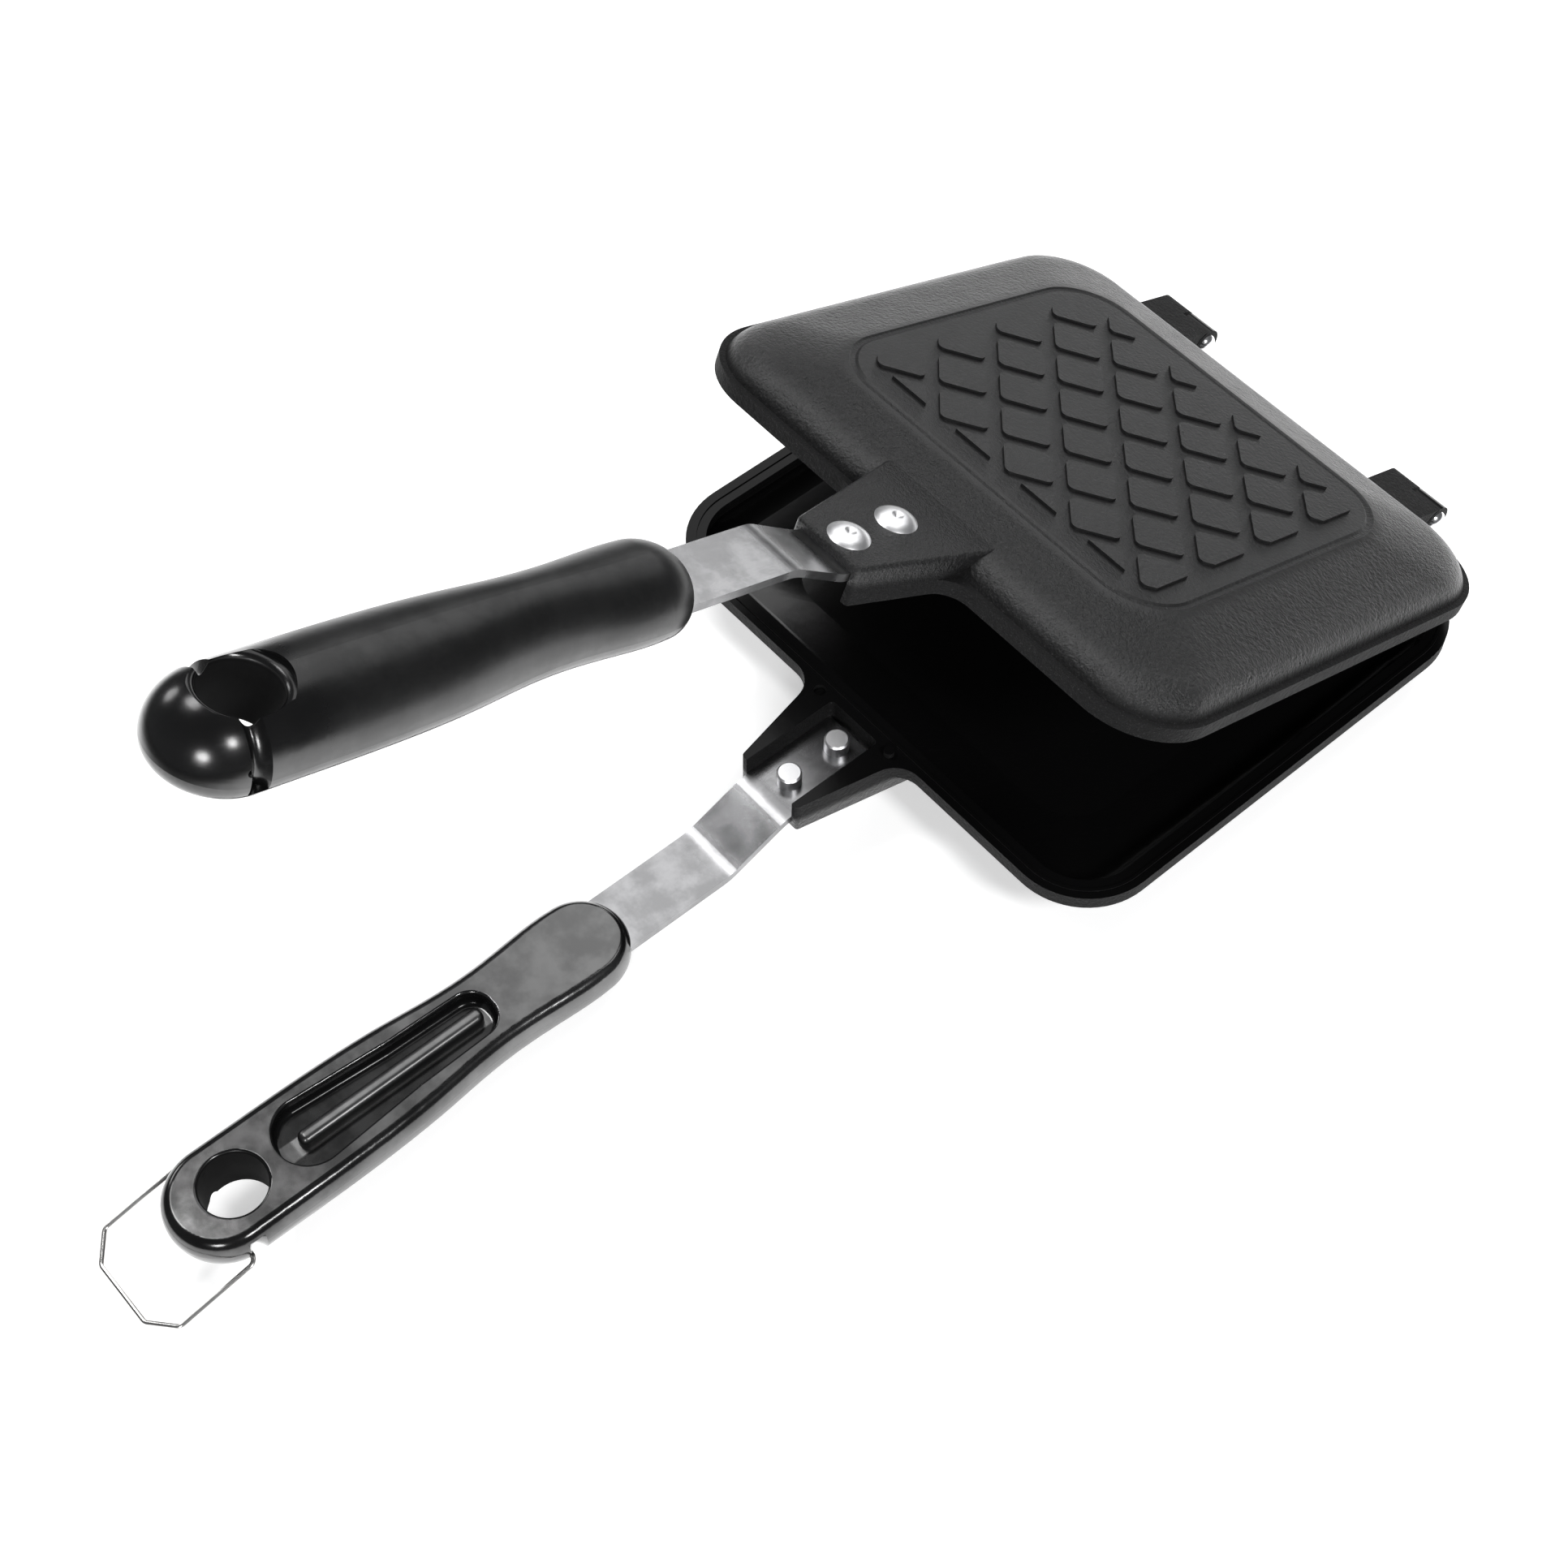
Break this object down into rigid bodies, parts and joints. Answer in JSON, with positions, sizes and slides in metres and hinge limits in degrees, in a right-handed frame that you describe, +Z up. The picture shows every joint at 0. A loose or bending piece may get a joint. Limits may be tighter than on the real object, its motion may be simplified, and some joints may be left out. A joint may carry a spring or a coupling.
{
  "type": "pie iron",
  "caption": "Hinged double-sided toasted-sandwich pan: cast halves with diamond-patterned outsides, riveted steel straps, long moulded grips and a wire loop.",
  "frame": {"origin": "middle of the object's footprint on the table, at table level, with the upper half open as pictured", "axes": "+X along the hinge axis, +Y from the grips towards the hinge, +Z up"},
  "size_m": [0.145, 0.349, 0.1658],
  "materials": {
    "cast_pan": "cast, with dark satin non-stick coating",
    "steel_strip": "brushed",
    "rivet_metal": "polished",
    "pin_metal": "polished",
    "spring_wire": "bright drawn wire",
    "grip_resin": "high gloss"
  },
  "bodies": {
    "base": {"lower_pan": "cast_pan", "lower_strap": "steel_strip", "lower_grip": "grip_resin", "lower_rivet_front": "rivet_metal", "lower_rivet_rear": "rivet_metal", "hinge_pin_left": "pin_metal", "hinge_pin_right": "pin_metal"},
    "lid": {"upper_pan": "cast_pan", "upper_strap": "steel_strip", "upper_grip": "grip_resin", "upper_rivet_front": "rivet_metal", "upper_rivet_rear": "rivet_metal"},
    "latch": {"latch_wire": "spring_wire"}
  },
  "joints": [
    {"name": "lid_hinge", "type": "hinge", "parent": "base", "child": "lid", "pos_m": [0, 0.17036, 0.01154], "axis": [-1, 0, 0], "range_deg": [-21, 159]},
    {"name": "latch_swing", "type": "hinge", "parent": "base", "child": "latch", "pos_m": [0, -0.14956, 0.01243], "axis": [-1, 0, 0], "range_deg": [-140, 168]}
  ]
}
